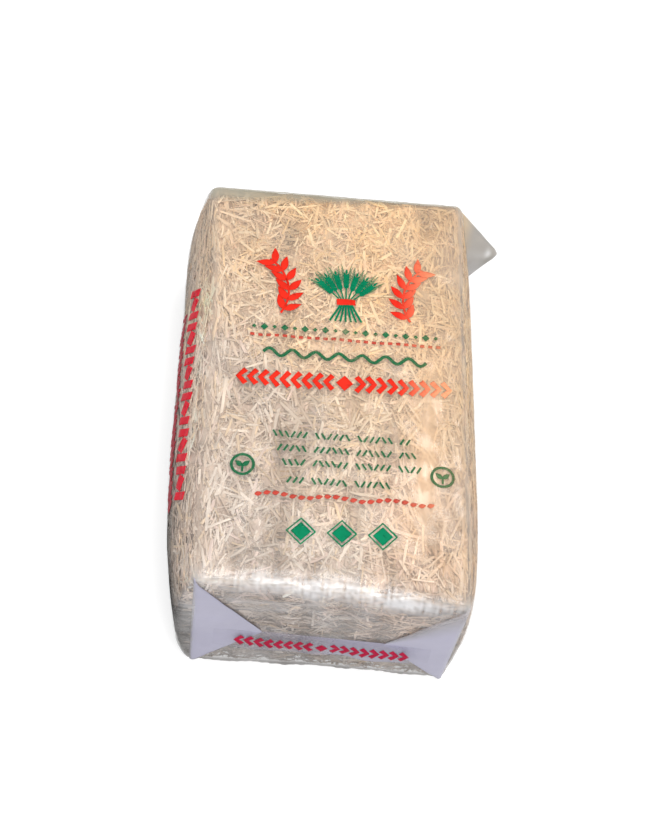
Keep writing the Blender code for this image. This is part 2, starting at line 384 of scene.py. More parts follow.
def face_uv(share, faces, margin, charts):
    """Texture corners of the quads of a block. Each of its faces has a chart: the axes across and up it,
    and the chart's corner and size."""
    uv = np.zeros((len(faces), 4, 2))
    for number, (axes, corner, size) in enumerate(charts):
        mask = faces == number
        uv[mask] = corner + (margin + (1 - 2 * margin) * share[mask][..., axes]) * size
    return uv.reshape(-1, 2)


# ---- Materials ----


class Nodes:
    """Short calls for the nodes of the world, or of a material around its Principled shader."""

    def __init__(self, owner, **sockets):
        owner.use_nodes = True
        self.owner, self.tree = owner, owner.node_tree
        self.shader = self.tree.nodes.get("Principled BSDF")
        for socket, value in sockets.items():
            self.shader.inputs[socket.replace("_", " ")].default_value = value

    def add(self, kind, inputs=None, **properties):
        """Adds a node, with a value or another node's output for each input, and returns its outputs."""
        node = self.tree.nodes.new(kind)
        for key, value in properties.items():
            setattr(node, key, value)
        for socket, value in (inputs or {}).items():
            if isinstance(value, bpy.types.NodeSocket):
                self.tree.links.new(value, node.inputs[socket])
            else:
                node.inputs[socket].default_value = value
        return node.outputs

    def link(self, output, socket):
        self.tree.links.new(output, self.shader.inputs[socket])

    def place(self):
        return self.add("ShaderNodeTexCoord")["Object"]

    def attribute(self, name, output="Color"):
        return self.add("ShaderNodeAttribute", attribute_name=name)[output]

    def stretched(self, vector, scale):
        return self.add("ShaderNodeMapping", {"Vector": vector, "Scale": scale})["Vector"]

    def noise(self, scale, vector, detail=2.0):
        return self.add("ShaderNodeTexNoise", {"Scale": scale, "Detail": detail, "Vector": vector})["Fac"]

    def remap(self, value, low, high, to_low, to_high):
        inputs = {"Value": value, "From Min": low, "From Max": high, "To Min": to_low, "To Max": to_high}
        return self.add("ShaderNodeMapRange", inputs)["Result"]

    def grain(self, value, darkest, brightest):
        """A grey tint from a noise's middle values."""
        shade = self.remap(value, 0.3, 0.7, darkest, brightest)
        return self.add("ShaderNodeCombineXYZ", {0: shade, 1: shade, 2: shade})[0]

    def math(self, operation, first, second):
        return self.add("ShaderNodeMath", {0: first, 1: second}, operation=operation)[0]

    def mix(self, operation, first, second):
        return self.add("ShaderNodeVectorMath", {0: first, 1: second}, operation=operation)[0]

    def bump(self, height, strength, distance):
        inputs = {"Height": height, "Strength": strength, "Distance": distance}
        self.link(self.add("ShaderNodeBump", inputs)["Normal"], "Normal")


def new_material(name, **sockets):
    return Nodes(bpy.data.materials.new(name), **sockets)


def straw_material():
    """Each stem's own colour, with long streaks and darker patches along it."""
    nodes = new_material("straw", Roughness=0.62)
    uv = nodes.add("ShaderNodeUVMap", uv_map="OFBake")["UV"]
    streaks = nodes.noise(1.0, nodes.stretched(uv, (STEM_CELLS * 2, STEM_CELLS * 9, 1)), 3.0)
    patches = nodes.noise(1.0, nodes.stretched(uv, (STEM_CELLS * 3, STEM_CELLS * 1.5, 1)))
    tint = nodes.mix("MULTIPLY", nodes.grain(streaks, 0.84, 1.10), nodes.grain(patches, 0.88, 1.08))
    nodes.link(nodes.mix("MULTIPLY", nodes.attribute("straw"), tint), "Base Color")
    nodes.bump(streaks, 0.35, 0.0004)
    return nodes.owner


def film_material(name, roughness, clouding, ior):
    """Clear film: its haze says how much of what lies behind it is veiled, in the colour of its veil."""
    nodes = new_material(name, Roughness=roughness, IOR=ior)
    nodes.link(nodes.attribute("veil"), "Base Color")
    place = nodes.place()
    clouds = nodes.remap(nodes.noise(16.0, place, 3.0), 0.3, 0.7, 1 - clouding, 1 + clouding)
    nodes.link(nodes.math("MULTIPLY", nodes.attribute("haze", "Fac"), clouds), "Alpha")
    nodes.bump(nodes.noise(1.0, nodes.stretched(place, (110, 60, 110)), 3.0), 0.25, 0.0012)
    return nodes.owner


def ink_material(name, colour, cover, paling):
    """Ink on film, worn thin in places, and paler towards the right, where a warm glare is painted on it."""
    nodes = new_material(name, Roughness=0.45, Specular_IOR_Level=0.05)
    place = nodes.place()
    patches = nodes.remap(nodes.noise(7.0, place), 0.35, 0.60, 0.72, 1.30)
    wear = nodes.math("MULTIPLY", nodes.noise(90.0, place, 4.0), patches)
    # Paler towards the right: a painted warm glare.
    right = nodes.remap(nodes.add("ShaderNodeSeparateXYZ", {0: place})["X"], 0.095, 0.175, 0.0, paling)
    faded = nodes.mix("ADD", nodes.mix("MULTIPLY", np.subtract(PALE_INK, colour), right), colour)
    tint = nodes.grain(nodes.noise(35.0, place), 0.88, 1.08)
    nodes.link(nodes.mix("MULTIPLY", faded, tint), "Base Color")
    nodes.link(nodes.remap(wear, 0.28, 0.46, 0.55 * cover, cover), "Alpha")
    return nodes.owner


# ---- Straw ----

# Places on the bale where the straw's tint changes.
NEAR_GROUND = zone(z=(0.17, 0.0))
LEFT_LOW = zone(x=(-0.175, -0.205), z=(0.228, 0.12))
LEFT_SHADE = zone(x=(-0.175, -0.205), z=(0.228, 0.135))
LEFT_RIM = zone(x=(-0.186, -0.204), z=(0.11, 0.20))
LEFT_RIM_MIDDLE = zone(y=(-0.22, -0.12), z=(0.268, 0.250))
FAR = zone(y=(0.12, 0.25))
RIGHT = zone(x=(0.12, 0.19))
NEAR = zone(y=(-0.12, -0.22))
NEARER_HALF = zone(y=(0.15, -0.22))
FAR_OF_MIDDLE = zone(x=(0.10, 0.02), y=(-0.05, 0.10, 0.16, 0.26))
NEAR_RIGHT = zone(x=(0.03, 0.08), y=(-0.10, -0.20))
NEAR_SHOULDER = zone(y=(0.040 - HALF[1], 0.012 - HALF[1]), z=(0.195, 0.250))
NEAR_END = zone(y=(0.014 - HALF[1], 0.004 - HALF[1]))
RIGHT_OF_MIDDLE = zone(x=(0.04, 0.12))
# Places on the block where the creases and the hollow on top change.
CREASED_NEAR = zone(y=(-0.25, -0.32))
FAR_HALF = zone(y=(-0.08, 0.06))
HOLLOWED = zone(y=(0.03, -0.06), z=(0.0, 0.1))
# Places on the block where the stems are of more even colour.
EVEN = zone(x=(0.04, 0.16), y=(-0.37, -0.25))


def crease_dip(points, seams, depth_field):
    """How far the straw sinks beside the seams between wads, and in the hollow on top."""
    x, y, _ = np.moveaxis(points, -1, 0)
    hollow = bell(x, HOLLOW_AT + HOLLOW_SLANT * y, HOLLOW_HALF_WIDTH) * HOLLOWED(points)
    dip = HOLLOW_DEPTH * CREASE_DEPTH * hollow
    for seam, going_on in zip(seams, CREASES_FAR):
        shifted = points * (1, 0.45, 1) + np.array((seam * 40, 0, 0))
        deep = 0.35 + 0.9 * depth_field(shifted) + 0.9 * CREASED_NEAR(points)
        deep = deep * (1 + (going_on - 1) * FAR_HALF(points))
        dip = np.maximum(dip, bell(x, seam, CREASE_HALF_WIDTH) * CREASE_DEPTH * np.clip(deep, 0, 1))
    return dip


def straw_tint(places, warmth):
    """The straw is warmer towards the far right and greyer towards the near left, as painted warm light and
    cool shade; painted shade darkens it near the ground and along the right, most of all low along the near
    left, and its upper left rim is painted lighter."""
    at = places[:, None]
    x, y, _ = np.moveaxis(at, -1, 0)
    square = at + NEAR_SKEW * x[..., None] * (0, 1, 0)  # as if the near end were square
    # Painted warm light towards the far right, painted cool shade towards the near left, and painted shade
    # near the ground.
    warm = ramp(-0.42, 0.42, 0.9 * y + 1.2 * x + 0.07 * warmth(at))
    tint = (GREYER + (WARMER - GREYER) * warm) * (1 - 0.38 * NEAR_GROUND(at))
    # Painted light: the upper left rim is lighter; painted shade: lower on the left it is darker.
    lit = LEFT_RIM(at) * (1 - 0.7 * FAR(at)) * (0.33 + 0.20 * LEFT_RIM_MIDDLE(at))
    tint *= 1 + lit - 0.26 * LEFT_LOW(at)
    # Painted shade: darker along the right side, more so towards the near end.
    tint *= 1 - (0.15 + 0.10 * NEAR(at)) * RIGHT(at)
    tint *= 1 + 0.05 * FAR_OF_MIDDLE(at)
    tint *= 1 + ROSIER * NEAR_RIGHT(at)
    tint *= 1 + 0.28 * NEAR_SHOULDER(square) * (1 - 1.8 * RIGHT_OF_MIDDLE(at))
    tint *= 1 + COOLER * NEAR_END(square)
    # Painted shade, low along the left side, strongest over its nearer half.
    return tint * (1 - (1 - SHADED) * LEFT_SHADE(at) * (0.28 + 0.72 * NEARER_HALF(at)))


def share_inside(centre, step, low, high):
    """The share of each step, up to 1, that keeps it between low and high."""
    edge = np.where(step > 0, high, low)
    room = np.abs(edge - centre) / np.maximum(np.abs(step), 1e-9)
    return np.minimum(room.min(axis=1, keepdims=True), 1.0)


def stem_headings(face, centre, rng):
    """Unit vectors along and across the stems. On the top most lie every way, save along its margins."""
    count = len(centre)
    beside = ramp(0.150, 0.185, np.abs(centre[:, 0]))
    aligned = {2: 0.15 + 0.75 * beside, 1: 0.45, 0: 0.78}[face.axis]
    along_grain = rng.random(count) < aligned
    turned = np.where(along_grain, rng.normal(0, HEADING_SPREAD, count), rng.uniform(-1.57, 1.57, count))
    heading, sideways = np.zeros((count, 3)), np.zeros((count, 3))
    heading[:, face.along], heading[:, face.across] = np.cos(turned), np.sin(turned)
    sideways[:, face.along], sideways[:, face.across] = -np.sin(turned), np.cos(turned)
    return heading, sideways


def stem_room(face, wads, seams, rng):
    """How far each stem may reach: within the block, and not far beyond its own wad."""
    low, high = np.tile(-LAID_WITHIN, (len(wads), 1)), np.tile(LAID_WITHIN, (len(wads), 1))
    if face.axis:
        edge = LAID_WITHIN[0]
        walls = np.concatenate(((-edge,), seams, (edge,)))
        over = rng.uniform(0.0, WAD_OVERLAP, len(wads))
        low[:, 0] = np.maximum(walls[wads] - over, -edge)
        high[:, 0] = np.minimum(walls[wads + 1] + over, edge)
    low[:, face.axis], high[:, face.axis] = -1, 1
    return low, high


def stem_normals(face, points):
    """Outward unit vectors of the bale's surface under points of the block."""
    steps = 0.002 * np.eye(3)
    along, across = (to_straw(points + steps[axis]) - to_straw(points - steps[axis]) for axis in face[2:4])
    normal = unit(np.cross(along, across))
    return normal * np.sign(normal[..., face.axis : face.axis + 1] * face.sign)


def stem_rings(stem, placed, normal, width, thick, roll, rng):
    """Rings of points around the stems' middle lines, which taper to their ends and are cut aslant."""
    count = len(placed)
    ahead = unit(np.gradient(placed, axis=1))
    flat = unit(np.cross(normal, ahead))
    upright = np.cross(ahead, flat)
    cos, sin = np.cos(roll)[:, None, None], np.sin(roll)[:, None, None]
    widthways, outward = flat * cos + upright * sin, upright * cos - flat * sin
    angle = 2 * np.pi * (np.arange(stem.sides) + 0.5 * (stem.sides == 6)) / stem.sides
    across = np.cos(angle)[None, None, :, None] * width[:, None, None, None] / 2
    up = np.sin(angle)[None, None, :, None] * thick[:, None, None, None] / 2
    from_middle = np.abs(np.linspace(-1, 1, stem.stations))
    waist = 1 - rng.uniform(0, TAPER_MOST, (count, 1)) * from_middle ** rng.uniform(1, 4, (count, 1))
    waist = waist[:, :, None, None]
    slant = np.zeros((count, stem.stations))
    for end in (0, -1):
        slant[:, end] = rng.uniform(-SLANT_MOST, SLANT_MOST, count)
    rings = placed[:, :, None] + widthways[:, :, None] * across * waist + outward[:, :, None] * up * waist
    return rings + ahead[:, :, None] * across * slant[:, :, None, None]


def lay_stems(stem, face, count, seams, fields, rng):
    """Stems of one kind on one face of the block. Returns rings of points, wad numbers and colours."""
    centre = rng.uniform(-1, 1, (count, 3)) * LAID_WITHIN
    wads = np.searchsorted(seams, centre[:, 0]) if face.axis else np.full(count, (face.sign > 0) * (WADS - 1))
    heading, sideways = stem_headings(face, centre, rng)
    length = rng.uniform(*stem.length, count) * rng.uniform(0.75, 1.0, count)
    width = rng.uniform(*stem.width, count)
    thick = width * rng.uniform(*stem.flat, count)
    roll = np.radians(rng.normal(0, stem.roll, count))
    low, high = stem_room(face, wads, seams, rng)
    centre[:, face.axis] = 0
    half_step = heading * length[:, None] / 2
    start = centre - half_step * share_inside(centre, -half_step, low, high)
    stop = centre + half_step * share_inside(centre, half_step, low, high)

    t = np.linspace(0, 1, stem.stations)[None, :, None]
    points = start[:, None] * (1 - t) + stop[:, None] * t
    bow = (rng.normal(0, stem.bow, count) * length)[:, None, None]
    points = points + sideways[:, None] * bow * 4 * t * (1 - t)
    gap = END_GAP if face.axis else SIDE_GAP
    least = gap + thick / 2 + width / 2 * np.abs(np.sin(roll))
    depth = rng.uniform(*stem.depth, (count, 2)) * DEPTH_SHARES[face.axis] + gap
    depth = np.maximum(depth, least[:, None])
    depth = depth[:, :1] * (1 - t[..., 0]) + depth[:, 1:] * t[..., 0]
    points[..., face.axis] = face.sign * HALF[face.axis]
    depth = depth + LUMPS[face.axis] * (1 + fields["lumps"](points))
    if face.axis:
        depth = depth + crease_dip(points, seams, fields["creases"])
    points[..., face.axis] -= face.sign * depth

    placed = to_straw(points)
    placed = placed * BEND_KEPT + (placed[:, :1] * (1 - t) + placed[:, -1:] * t) * (1 - BEND_KEPT)
    rings = stem_rings(stem, placed, stem_normals(face, points), width, thick, roll, rng)

    shades, weights = zip(*stem.palette)
    colour = np.array(shades)[rng.choice(len(shades), count, p=np.array(weights) / sum(weights))]
    colour = colour * rng.uniform(face.bright - face.spread, face.bright + face.spread, (count, 1))
    colour = blend(colour, BEIGE, 0.25 + 0.30 * EVEN(centre))
    colour = colour * straw_tint(placed.mean(axis=1), fields["warmth"])
    if face.axis:
        sunk = crease_dip(points, seams, fields["creases"]).max(axis=1) / CREASE_DEPTH
        colour = colour * (1 - sunk[:, None] * CREASE_SHADE)
    return rings, wads, np.clip(colour, 0, STRAW_BRIGHTEST)


def stem_faces(sides, stations, hollow):
    """One stem's corners, where its faces start, and its texture corners in a unit cell."""
    faces = []  # each as its corners, and each corner as a point's number and its place in the texture
    for s, k in itertools.product(range(stations - 1), range(sides)):
        quad = ((s, k), (s, k + 1), (s + 1, k + 1), (s + 1, k))
        numbers = [i * sides + j % sides for i, j in quad]
        spots = [(0.12 + 0.76 * i / (stations - 1), j / sides) for i, j in quad]
        faces.append(list(zip(numbers, spots)))
    for end in (0, 1):
        first, middle = end * (stations - 1) * sides, 0.04 + 0.92 * end
        turns = [math.tau * k / sides for k in range(sides)]
        ring = [(middle + 0.03 * math.cos(turn), 0.5 + 0.4 * math.sin(turn)) for turn in turns]
        ring = [(first + k, spot) for k, spot in enumerate(ring)]
        if not end:
            ring.reverse()
        pit = (stations * sides + end, (middle, 0.5))
        faces += [[ring[k], ring[(k + 1) % sides], pit] for k in range(sides)] if hollow else [ring]
    starts = np.cumsum([0] + [len(face) for face in faces[:-1]])
    loops, uv = zip(*itertools.chain(*faces))
    return np.array(loops), starts, np.array(uv)


def hollow_ends(rings):
    """A point sunk into each end of a stem, so that it looks hollow."""
    heads = rings[:, (0, -1)].mean(axis=2)
    inner = rings[:, (1, -2)].mean(axis=2)
    return heads + unit(inner - heads) * HOLLOW_END


def wad_core(wad, walls, fields):
    """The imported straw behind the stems, as a lumpy block: its points, quads, texture corners, colours."""
    first, last = wad == 0, wad == WADS - 1
    side = CORE_SIDE_DEPTH + WAD_GAP
    low = np.array((walls[wad] + (side if first else WAD_GAP), *(CORE_DEPTH - HALF[1:])))
    high = np.array((walls[wad + 1] - (side if last else WAD_GAP), *(HALF[1:] - CORE_DEPTH)))
    cells = np.maximum(np.round((high - low) / CORE_CELL), 2).astype(int)
    points, quads, faces = block_grid(low, high, cells)
    share = (points - low) / (high - low)
    out = (share > 1 - 1e-6) * 1.0 - (share < 1e-6)
    out[:, 0] = np.clip(out[:, 0], -first, last)
    far_rim = (out[:, 1] > 0) & (out[:, 2] > 0)
    lumps = CORE_KNOTS * fields["knots"](points) * (1 - 0.7 * far_rim) - CORE_SETTLED
    points = points + out * lumps[:, None]
    dip = crease_dip(points, walls[1:-1], fields["creases"]) * ~far_rim - CORE_RIM_RISE * far_rim
    points[:, 1:] -= out[:, 1:] * dip[:, None]
    at_end = np.abs(points[:, 1:2]) > HALF[1] - 1.5 * CORE_DEPTH
    # Painted shade: the core is darker at the ends, where it shows between the stems.
    shade = (1 + 0.28 * fields["knots"](points * 2.3)[:, None]) * (1 - 0.45 * at_end)
    placed = to_straw(points)
    colour = CORE_BROWN * shade * straw_tint(placed, fields["warmth"])
    sides = ((1, 2), (1, 2), (0, 2), (0, 2), (1, 0), (1, 0))
    charts = [(axes, (number / 6, 1), (1 / 6, -CORE_BAND)) for number, axes in enumerate(sides)]
    return placed, quads, face_uv(share[quads], faces, CORE_MARGIN, charts), colour


def add_straw():
    """Seven wads, each a packed core under a few layers of loose stems."""
    seams = np.linspace(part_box("wad_1")[1].x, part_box(f"wad_{WADS}")[0].x, WADS - 1)
    walls = np.concatenate(((-HALF[0],), seams, (HALF[0],)))
    fields = {
        "lumps": wave_field(3, 0.060),
        "creases": wave_field(4, 0.075),
        "warmth": wave_field(5, 0.180),
        "knots": wave_field(6, 0.026, 16),
    }
    rng = np.random.default_rng(11)
    parts = [[] for _ in range(WADS)]  # of each wad: points, corners, face starts, texture and colours
    sizes = np.zeros((WADS, 3), int)  # points, corners and stems so far

    def append(wad, points, loops, starts, uv, colour):
        size = sizes[wad]
        parts[wad].append((points, loops + size[0], starts + size[1], uv, colour))
        size[:2] += len(points), len(loops)

    for stem in STEMS:
        unit_loops, unit_starts, unit_uv = stem_faces(stem.sides, stem.stations, stem.hollow)
        spread = np.array([face.density * HALF[face.along] * HALF[face.across] for face in FACES])
        counts = np.round(stem.count * spread / spread.sum()).astype(int)
        for face, count in zip(FACES, counts):
            rings, wads, colours = lay_stems(stem, face, count, seams, fields, rng)
            corners = rings.reshape(count, -1, 3)
            colours = np.repeat(colours[:, None], corners.shape[1], axis=1)
            if stem.hollow:
                corners = np.concatenate((corners, hollow_ends(rings)), axis=1)
                colours = np.concatenate((colours, colours[:, :2] * HOLLOW_END_SHADE), axis=1)
            for wad in range(WADS):
                mine = wads == wad
                order = np.arange(mine.sum())[:, None]
                numbers = sizes[wad, 2] + order
                cell = np.stack((numbers % STEM_CELLS, numbers // STEM_CELLS), axis=-1)
                uv = (cell + CELL_MARGIN + (1 - 2 * CELL_MARGIN) * unit_uv) / STEM_CELLS * (1, 1 - CORE_BAND)
                loops = (unit_loops + order * corners.shape[1]).ravel()
                starts = (unit_starts + order * len(unit_loops)).ravel()
                append(wad, corners[mine].reshape(-1, 3), loops, starts, uv.reshape(-1, 2),
                       colours[mine].reshape(-1, 3))
                sizes[wad, 2] += len(order)
    material = straw_material()
    for wad in range(WADS):
        points, quads, uv, colour = wad_core(wad, walls, fields)
        append(wad, points, quads.ravel(), np.arange(len(quads)) * 4, uv, colour)
        points, loops, starts, uv, colour = (np.concatenate(arrays) for arrays in zip(*parts[wad]))
        name = f"straw_{wad + 1}"
        mesh = make_mesh(name, points, loops, starts)
        set_uv(mesh, uv)
        set_colour(mesh, "straw", colour)
        add_piece(name, mesh, material, f"straw_{1 + wad % 2}", f"wad_{wad + 1}")
        mesh.set_sharp_from_angle(angle=math.radians(60))


# ---- Film ----

# Places on the block where the film changes.
TOP = zone(z=(HALF[2] - 0.010, HALF[2]))
JUST_UNDER_TOP = zone(z=(HALF[2] - 0.014, HALF[2] - 0.004))
FAR_RIM = zone(y=(HALF[1] - 0.030, HALF[1]), z=(HALF[2] - 0.020, HALF[2]))
FAR_TOP_EDGE = zone(y=(HALF[1] - 0.020, HALF[1] - 0.005), z=(HALF[2] - 0.020, HALF[2] - 0.008))
NEAR_FACE = zone(y=(0.010 - HALF[1], -HALF[1]))
LOW = zone(z=(0.060, -0.100))
IN_SHADE = zone(y=(0.15, -0.22), z=(0.110, -0.005))
FAR_UPPER = zone(y=(0.16, 0.30), z=(-0.04, 0.06))
PEACHY = zone(x=(0.02, 0.20), y=(-0.36, -0.16))
# Where the painted warm reflection lies, in a stripe on top:
STRIPED = zone(y=(-0.33, -0.22, -0.05, 0.10))
STRIPE_AT = 0.150  # across the bale
STRIPE_SLANT = 0.09
STRIPE_HALF_WIDTH = 0.022
# Along the painted highlight on the near edge:
HIGHLIGHT_LOWERED = zone(x=(0.02, 0.16))  # where the highlight band lies lower and is narrower,
HIGHLIGHT_STRONG = zone(x=(-0.17, -0.08, 0.11, 0.19))
HIGHLIGHT_STRONGER = zone(x=(0.04, 0.09))


def on_long_sides(points):
    return ramp(HALF[0] - 0.010, HALF[0], np.abs(points[..., 0]))


def film_wrinkles(points):
    """How far out the film lies, over its place on the plain block."""
    from_edge = np.sort(HALF - np.abs(points), axis=-1)[..., 1]
    soft = 0.0007 * wave_field(21, 0.070)(points) + 0.0004 * wave_field(22, 0.030)(points)
    crimp = 0.0007 * wave_field(23, 0.013)(points * (1, 1, 0.25)) * np.exp(-from_edge / 0.016)
    lines = 0.0005 * wave_field(24, 0.018)(points * (1, 0.16, 1)) * ramp(0.0, 0.03, from_edge)
    out = soft + crimp + lines
    for side, end, up in itertools.product((-1, 1), repeat=3):
        away = np.abs(points - HALF * (side, end, up))
        distance = np.linalg.norm(away, axis=-1)
        bearing = np.arctan2(away[..., 0] + away[..., 2], away[..., 1])
        pleats = np.sin(bearing * 19 + side + 2 * end + 3 * up + 2 * np.sin(bearing * 7))
        out = out + 0.0013 * pleats * ramp(0, 0.03, distance) * np.exp(-distance / 0.070)
    beside, rim = on_long_sides(points), FAR_RIM(points)
    return out * (1 - 0.4 * beside) * (1 - 0.7 * rim) + 0.0006 - 0.0004 * beside - 0.0006 * rim


def film_veil(points):
    """The film's colour, and the share of what lies behind that it veils: more where it stands off the
    straw, in a painted highlight along the near edge, in a painted warm reflection on top, and towards the
    ground as painted shade; it is also painted darker in the shadow low on the near left."""
    x, y, z = points.T
    from_edge, from_corner = np.sort(HALF - np.abs(points), axis=-1)[:, 1:].T
    patches = np.clip(0.5 + 0.5 * wave_field(25, 0.120)(points), 0, 1)
    long_streaks = wave_field(26, 0.008)(points * (1, 0.10, 0.10))
    short_streaks = wave_field(27, 0.009)(points * (1, 0.8, 0.8))
    streaks = np.clip(0.74 + 0.30 * (long_streaks + 0.7 * short_streaks), 0.15, 1)
    smears = wave_field(28, 0.045)(points * (0.5, 1, 1.6))
    top, low = TOP(points), LOW(points)
    beside, near_end = on_long_sides(points) * (1 - top), NEAR_FACE(points) * (1 - top)
    shadow, far_left = beside * (x < 0) * IN_SHADE(points), beside * (x < 0) * FAR_UPPER(points)
    rims = ramp(0.010, 0.002, from_edge)
    corners = ramp(0.050, 0.010, from_corner + from_edge)
    far_band = 0.008 + 0.020 * ramp(HALF[0], -HALF[0], x)
    far = ramp(1.3, 0.6, (HALF[1] - y) / far_band) * JUST_UNDER_TOP(points)
    # A painted highlight along the near top edge, in streaks, and a painted warm reflection in a stripe on
    # top.
    lowered = HIGHLIGHT_LOWERED(points)
    drop = 0.018 + 0.009 * bell(x, 0.015, 0.06)
    highlight = bell(y, -HALF[1], 0.023 - 0.012 * lowered) * bell(z, HALF[2] - 0.018 * lowered, drop)
    highlight = highlight * streaks * (0.42 + 0.58 * HIGHLIGHT_STRONG(points)) * (1 + 0.35 * HIGHLIGHT_STRONGER(points))
    right = PEACHY(points) * top * (0.6 + 0.4 * patches)
    stripe_at = STRIPE_AT + STRIPE_SLANT * y
    glare = bell(x, stripe_at, STRIPE_HALF_WIDTH) * STRIPED(points) * top * (0.75 + 0.25 * patches)
    colour = np.tile(CLEAR, (len(points), 1))
    clear = 1 - FILM_BASE_HAZE * (1 - 0.92 * shadow)
    for tone, haze in (
        (CLEAR, (0.07 * patches + 0.12 * corners) * (1 - shadow)),
        (PEACH, 0.26 * right),
        (WARM_GLARE, 0.40 * glare),
        (STONE, (0.05 * beside + 0.22 * rims * (1 - near_end) + 0.14 * far_left) * (1 - shadow)),
        (SLATE, near_end * np.clip(0.17 + 0.07 * smears, 0.05, 0.4)),
        (GROUND_SHADE, 0.12 * low * (1 - 0.8 * shadow) + 0.70 * rims * low),
        (DUN, 0.50 * far + 0.25 * rims * FAR_TOP_EDGE(points)),
        (HIGHLIGHT_WHITE, 0.70 * np.minimum(highlight, 1)),
    ):
        haze = np.clip(haze, 0, 1)
        clear = clear * (1 - haze)
        colour = blend(colour, tone, haze / np.maximum(1 - clear, 1e-6))
    # The film is painted darker in the shadow low on the near left.
    return colour * (1 - 0.7 * shadow[:, None]), np.clip(1 - clear, 0, HAZE_MOST)


def punch_vents(points, quads, faces):
    """Opens the four vent holes in the grid of the film. Returns its points, and the quads and faces left
    with those of a ring around each hole."""
    step = 2 * HALF / np.round(2 * HALF / FILM_CELL)
    for side, end in itertools.product((0, 1), (-1, 1)):
        wall = np.flatnonzero(faces == side)
        vent = np.array((0, end * (HALF[1] - VENT_FROM_END), VENT_HEIGHT - HALF[2]))
        knot = np.round((vent + HALF) / step) * step - HALF
        off = np.abs((points[quads[wall]].mean(axis=1) - knot)[:, 1:] / step[1:]).max(axis=1)
        hole = wall[off < 2]
        away = np.abs((points - knot)[:, 1:] / step[1:]).max(axis=1)
        rim = np.flatnonzero((np.abs(away - 2) < 0.01) & (points[:, 0] * (2 * side - 1) > HALF[0] - 1e-6))
        bearing = np.arctan2(*(points[rim] - knot)[:, 1:].T)
        rim, bearing = rim[np.argsort(bearing)], np.sort(bearing)
        circle = np.stack((0 * bearing, np.sin(bearing), np.cos(bearing)), axis=1) * VENT_RADIUS + vent
        circle[:, 0] = points[rim, 0]
        inner = len(points) + np.arange(len(rim))
        ring_quads = np.stack((rim, np.roll(rim, -1), np.roll(inner, -1), inner), axis=1)
        if side:
            ring_quads = ring_quads[:, ::-1]
        points = np.concatenate((points, circle))
        quads = np.concatenate((np.delete(quads, hole, axis=0), ring_quads))
        faces = np.concatenate((np.delete(faces, hole), np.full(len(rim), side)))
    return points, quads, faces


def film_uv(share, faces):
    """The bag unrolled: its top, left side, underside and right side in a row, and its ends over them."""
    width, length, height = size = 2 * HALF
    across = (width, 2 * width + height, 0, width, width + height, 0)
    up = (0, 0, length, length, 0, 0)
    sides = ((2, 1), (2, 1), (0, 2), (0, 2), (0, 1), (0, 1))
    around = 2 * (width + height)
    corners = np.stack((across, up), axis=1) / around
    charts = [(axes, corner, size[list(axes)] / around) for axes, corner in zip(sides, corners)]
    return face_uv(share, faces, FILM_MARGIN, charts)


def add_film():
    """The clear bag: one skin around the straw, with fine wrinkles and four vent holes."""
    cells = np.round(2 * HALF / FILM_CELL).astype(int)
    points, quads, faces = punch_vents(*block_grid(-HALF, HALF, cells))
    out = unit(np.where(np.abs(np.abs(points) - HALF) < 1e-9, np.sign(points), 0))
    placed = to_bale(points + out * film_wrinkles(points)[:, None], film_rounding(points))
    placed[:, 2] = np.maximum(placed[:, 2], FLOOR_GAP)
    mesh = quad_mesh("film", placed, quads)
    set_uv(mesh, film_uv(((points + HALF) / (2 * HALF))[quads], faces))
    colour, haze = film_veil(points)
    set_colour(mesh, "veil", colour)
    set_value(mesh, "haze", haze)
    material = film_material("clear_film", roughness=0.22, clouding=0.20, ior=2.0)
    return add_piece("film", mesh, material, "clear_film", "bag")


def doubled_film(name, front, back, shape, colour, haze, material):
    """A piece from two sheets over the same grid, of this shape, joined all round their rims."""
    count = len(front)
    index = np.arange(count).reshape(shape)
    quads = np.stack((index[:-1, :-1], index[1:, :-1], index[1:, 1:], index[:-1, 1:]), axis=-1).reshape(-1, 4)
    rim = np.concatenate((index[0, :-1], index[:-1, -1], index[-1, :0:-1], index[:0:-1, 0]))
    after = np.roll(rim, -1)
    walls = np.stack((rim, after, after + count, rim + count), axis=1)
    quads = np.concatenate((quads, quads[:, ::-1] + count, walls[:, ::-1]))
    mesh = quad_mesh(name, skewed(np.concatenate((front, back))), quads)
    bm = bmesh.new()
    bm.from_mesh(mesh)
    bmesh.ops.recalc_face_normals(bm, faces=bm.faces)
    bm.to_mesh(mesh)
    bm.free()
    set_colour(mesh, "veil", np.tile(colour, (2, 1)))
    set_value(mesh, "haze", np.tile(haze, 2))
    return add_piece(name, mesh, material, "clear_film")


def sheet_shares(rows, columns):
    u, v = np.meshgrid(np.linspace(0, 1, rows), np.linspace(0, 1, columns), indexing="ij")
    return u.ravel(), v.ravel()


Ear = namedtuple("Ear", "reach blunt puff flutter least soft folded tones hem")

FOLDED_EAR = Ear(EAR_REACH + 0.006, EAR_TIP, 0.0008, 0.0005, 0.80, 0.03, True, (MILKY,) * 5, None)
BLURRED_EAR = FOLDED_EAR._replace(least=0.25, soft=0.36, hem=HEM)
STANDING_EAR = Ear(EAR_REACH + 0.004, STANDING_EAR_TIP, 0.014, 0.0012, 0.85, 0.1, False,
                   (TAWNY, GREY, PALE_GREY, GLINT, OLIVE), None)
EAR_GRID = (44, 56)
EAR_EDGE_AT = 0.0085  # from a folded ear's root to where it starts to round the film's edge


